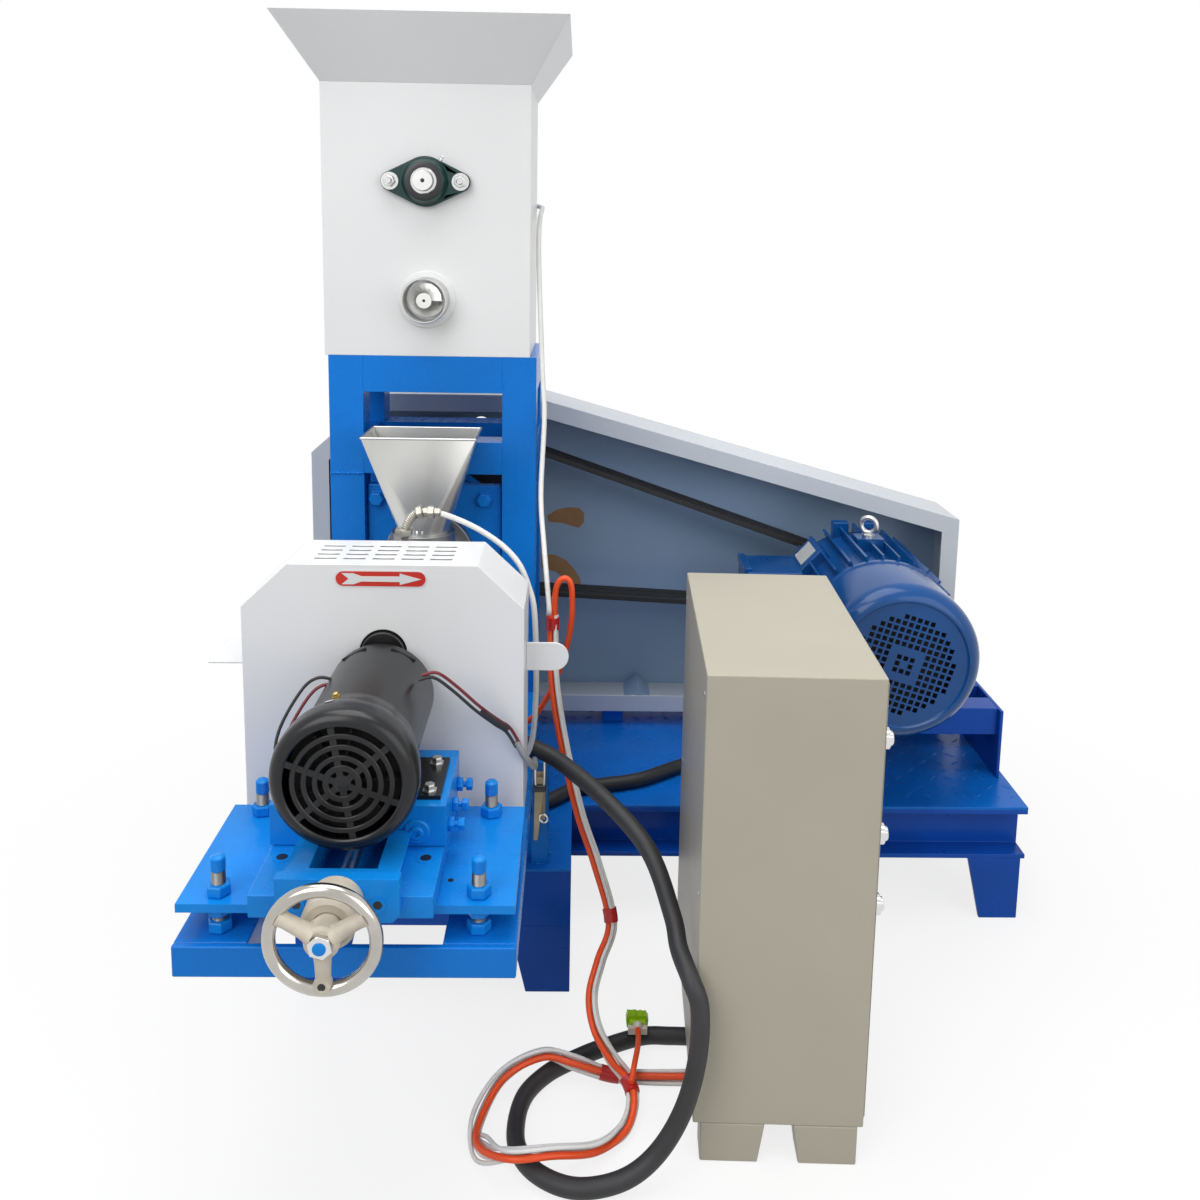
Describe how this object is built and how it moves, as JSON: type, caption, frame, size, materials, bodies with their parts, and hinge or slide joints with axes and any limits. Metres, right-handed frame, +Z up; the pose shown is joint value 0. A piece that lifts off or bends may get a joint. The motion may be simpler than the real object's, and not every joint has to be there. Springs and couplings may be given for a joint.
{
  "type": "feed pellet extruder",
  "caption": "Screw extruder for feed pellets: flared hopper on a steel tower, covered barrel, sliding die cutter with handwheel, belt drive and a separate control cabinet.",
  "frame": {"origin": "middle of the footprint, on the floor", "axes": "+X to the operator's right, towards the main motor; +Y from the cutter's handwheel to the belt guard; +Z up"},
  "size_m": [1.295, 1.243, 1.495],
  "materials": {
    "frame_blue": "gloss enamel",
    "deck_blue": "gloss enamel on checker plate",
    "tower_blue": "gloss enamel",
    "cutter_blue": "gloss enamel",
    "white_sheet": "smooth powder coat",
    "bearing_green": "satin paint",
    "shaft_steel": "turned",
    "feed_steel": "satin",
    "stainless": "brushed",
    "barrel_steel": "turned",
    "heater_metal": "satin",
    "die_black": "blackened",
    "zinc_steel": "zinc plated",
    "wheel_metal": "polished rim, cream spokes",
    "cutter_black": "satin",
    "motor_blue": "gloss enamel",
    "guard_grey": "smooth powder coat",
    "belt_rubber": "matt",
    "pulley_iron": "machined",
    "cabinet_beige": "textured powder coat",
    "button_chrome": "polished",
    "latch_cream": "satin",
    "cable_black": "matt sheath",
    "cable_white": "smooth sheath",
    "cable_orange": "smooth sheath",
    "plug_green": "moulded"
  },
  "bodies": {
    "machine": {"frame_rails": "frame_blue", "frame_ties": "frame_blue", "frame_feet": "frame_blue", "deck_plate": "deck_blue", "tower_legs": "tower_blue", "tower_rails": "tower_blue", "hopper_sides": "white_sheet", "hopper_ends": "white_sheet", "hopper_floor": "white_sheet", "hopper_flare": "white_sheet", "flange_bearing": "bearing_green", "feed_tube": "feed_steel", "feeder_box": "tower_blue", "feeder_motor": "tower_blue", "feed_funnel": "stainless", "bearing_housing": "frame_blue", "barrel": "barrel_steel", "heater_bands": "heater_metal", "die_head": "die_black", "barrel_cover": "white_sheet", "cover_handles": "white_sheet", "support_rails": "tower_blue", "support_front": "tower_blue", "support_posts": "tower_blue", "toggle_latch": "latch_cream", "levelling_plate": "cutter_blue", "levelling_studs": "zinc_steel", "slide_bed": "cutter_blue", "screw_end_plate": "cutter_blue", "motor_bed_sides": "frame_blue", "motor_bed_ties": "frame_blue", "main_motor_body": "motor_blue", "main_motor_fan_cover": "motor_blue", "main_motor_terminal_box": "motor_blue", "guard_rim": "guard_grey", "guard_lip": "guard_grey", "guard_feet": "guard_grey", "guard_back_plate": "guard_grey", "drive_belts": "belt_rubber", "cabinet_body": "cabinet_beige", "cabinet_door": "cabinet_beige", "cabinet_feet": "cabinet_beige", "cabinet_buttons": "button_chrome", "motor_cable": "cable_black", "control_bundle": "cable_white", "orange_lead": "cable_orange", "feeder_cable": "cable_white", "heater_cable": "cable_white", "plug_lead": "cable_orange", "cable_plug": "plug_green"},
    "carriage": {"carriage_saddle": "cutter_blue", "cutter_motor_body": "cutter_black", "cutter_fan_cover": "cutter_black", "cutter_knife": "shaft_steel"},
    "wheel": {"handwheel": "wheel_metal", "lead_screw": "shaft_steel"},
    "stirrer": {"agitator": "shaft_steel"},
    "feeder": {"feed_screw": "feed_steel"},
    "spindle": {"large_pulley": "pulley_iron"},
    "rotor": {"small_pulley": "pulley_iron"}
  },
  "joints": [
    {"name": "handwheel_turn", "type": "hinge", "parent": "machine", "child": "wheel", "pos_m": [-0.3825, -0.6055, 0.482], "axis": [0, 1, 0], "range_deg": [-3650, 30]},
    {"name": "carriage_slide", "type": "slide", "parent": "machine", "child": "carriage", "axis": [0, 1, 0], "range_m": [-0.05, 0]},
    {"name": "agitator_spin", "type": "hinge", "parent": "machine", "child": "stirrer", "pos_m": [-0.3825, 0.1495, 1.25], "axis": [0, 1, 0], "continuous": true},
    {"name": "feed_screw_spin", "type": "hinge", "parent": "machine", "child": "feeder", "pos_m": [-0.3825, 0.1495, 1.066], "axis": [0, 1, 0], "continuous": true},
    {"name": "spindle_spin", "type": "hinge", "parent": "machine", "child": "spindle", "pos_m": [-0.3825, 0.5335, 0.642], "axis": [0, 1, 0], "continuous": true},
    {"name": "motor_spin", "type": "hinge", "parent": "machine", "child": "rotor", "pos_m": [0.3935, 0.5335, 0.491], "axis": [0, 1, 0], "continuous": true}
  ],
  "couplings": [
    {"joint": "handwheel_turn", "follows": "carriage_slide", "rad_per_m": 1256.6},
    {"joint": "feed_screw_spin", "follows": "agitator_spin", "ratio": 2},
    {"joint": "motor_spin", "follows": "spindle_spin", "ratio": 3.24}
  ]
}
